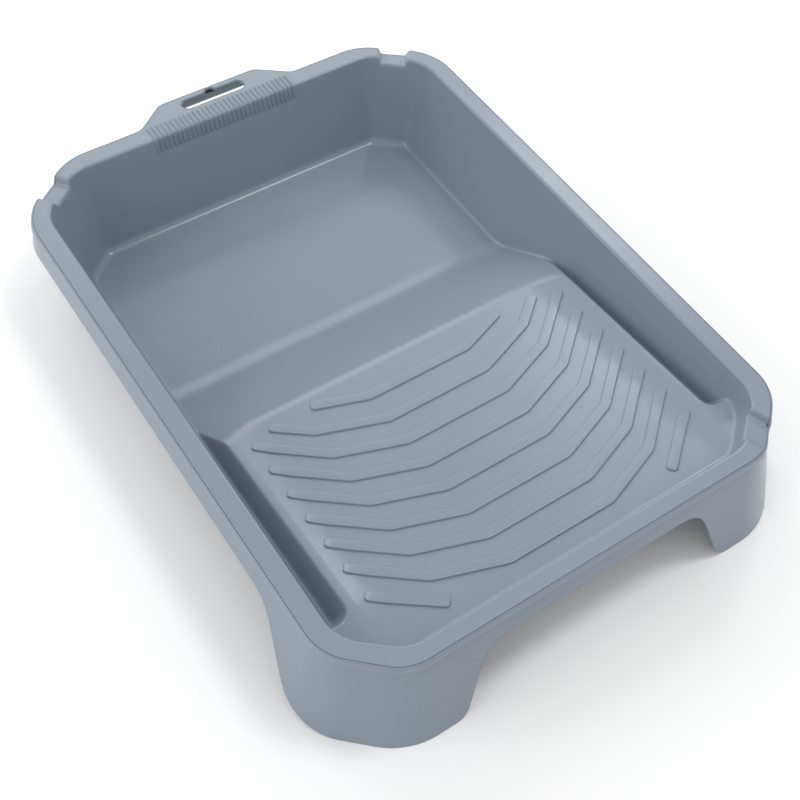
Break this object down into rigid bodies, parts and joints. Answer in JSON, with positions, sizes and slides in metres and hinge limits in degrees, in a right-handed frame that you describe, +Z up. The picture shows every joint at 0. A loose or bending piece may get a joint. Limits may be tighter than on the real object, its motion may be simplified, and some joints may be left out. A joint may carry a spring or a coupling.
{
  "type": "paint roller tray",
  "caption": "One-piece moulded paint roller tray: deep well, ribbed rolling ramp, drain channels, pouring spouts, hang tab and two splayed legs.",
  "frame": {"origin": "centre of the footprint on the ground, under the middle of the overall box", "axes": "+Z up; +Y towards the deep end with the hang tab; +X across the tray, towards the side that has a spout at both ends"},
  "size_m": [0.2934, 0.386, 0.0589],
  "materials": {
    "tray_plastic": "satin"
  },
  "bodies": {
    "root": {"back_grip_ribs": "tray_plastic", "back_left_corner_rim_end": "tray_plastic", "back_left_corner_rim_side": "tray_plastic", "back_left_corner_skirt": "tray_plastic", "back_left_corner_wall": "tray_plastic", "back_left_spout": "tray_plastic", "back_right_corner_rim_end": "tray_plastic", "back_right_corner_rim_side": "tray_plastic", "back_right_corner_skirt": "tray_plastic", "back_right_corner_wall": "tray_plastic", "back_right_spout": "tray_plastic", "back_rim": "tray_plastic", "back_skirt_left": "tray_plastic", "back_skirt_right": "tray_plastic", "back_wall": "tray_plastic", "front_left_corner_rim": "tray_plastic", "front_left_corner_wall": "tray_plastic", "front_right_corner_rim_end": "tray_plastic", "front_right_corner_rim_side": "tray_plastic", "front_right_corner_wall": "tray_plastic", "front_right_spout": "tray_plastic", "front_rim": "tray_plastic", "front_skirt": "tray_plastic", "front_wall": "tray_plastic", "hang_tab": "tray_plastic", "left_drain_channel": "tray_plastic", "left_leg_corner": "tray_plastic", "left_leg_front": "tray_plastic", "left_leg_side": "tray_plastic", "left_ramp_wall": "tray_plastic", "left_rim": "tray_plastic", "left_skirt": "tray_plastic", "left_well_wall": "tray_plastic", "ramp_front_shelf": "tray_plastic", "ramp_incline": "tray_plastic", "ramp_plate": "tray_plastic", "ramp_rib_1": "tray_plastic", "ramp_rib_2": "tray_plastic", "ramp_rib_3": "tray_plastic", "ramp_rib_4": "tray_plastic", "ramp_rib_5": "tray_plastic", "ramp_rib_6": "tray_plastic", "ramp_rib_7": "tray_plastic", "ramp_rib_8": "tray_plastic", "ramp_rib_9": "tray_plastic", "right_drain_channel": "tray_plastic", "right_leg_corner": "tray_plastic", "right_leg_front": "tray_plastic", "right_leg_side": "tray_plastic", "right_ramp_wall": "tray_plastic", "right_rim": "tray_plastic", "right_skirt": "tray_plastic", "right_well_wall": "tray_plastic", "tab_skirt_end": "tray_plastic", "tab_skirt_left": "tray_plastic", "tab_skirt_right": "tray_plastic", "well_floor": "tray_plastic"}
  },
  "joints": []
}
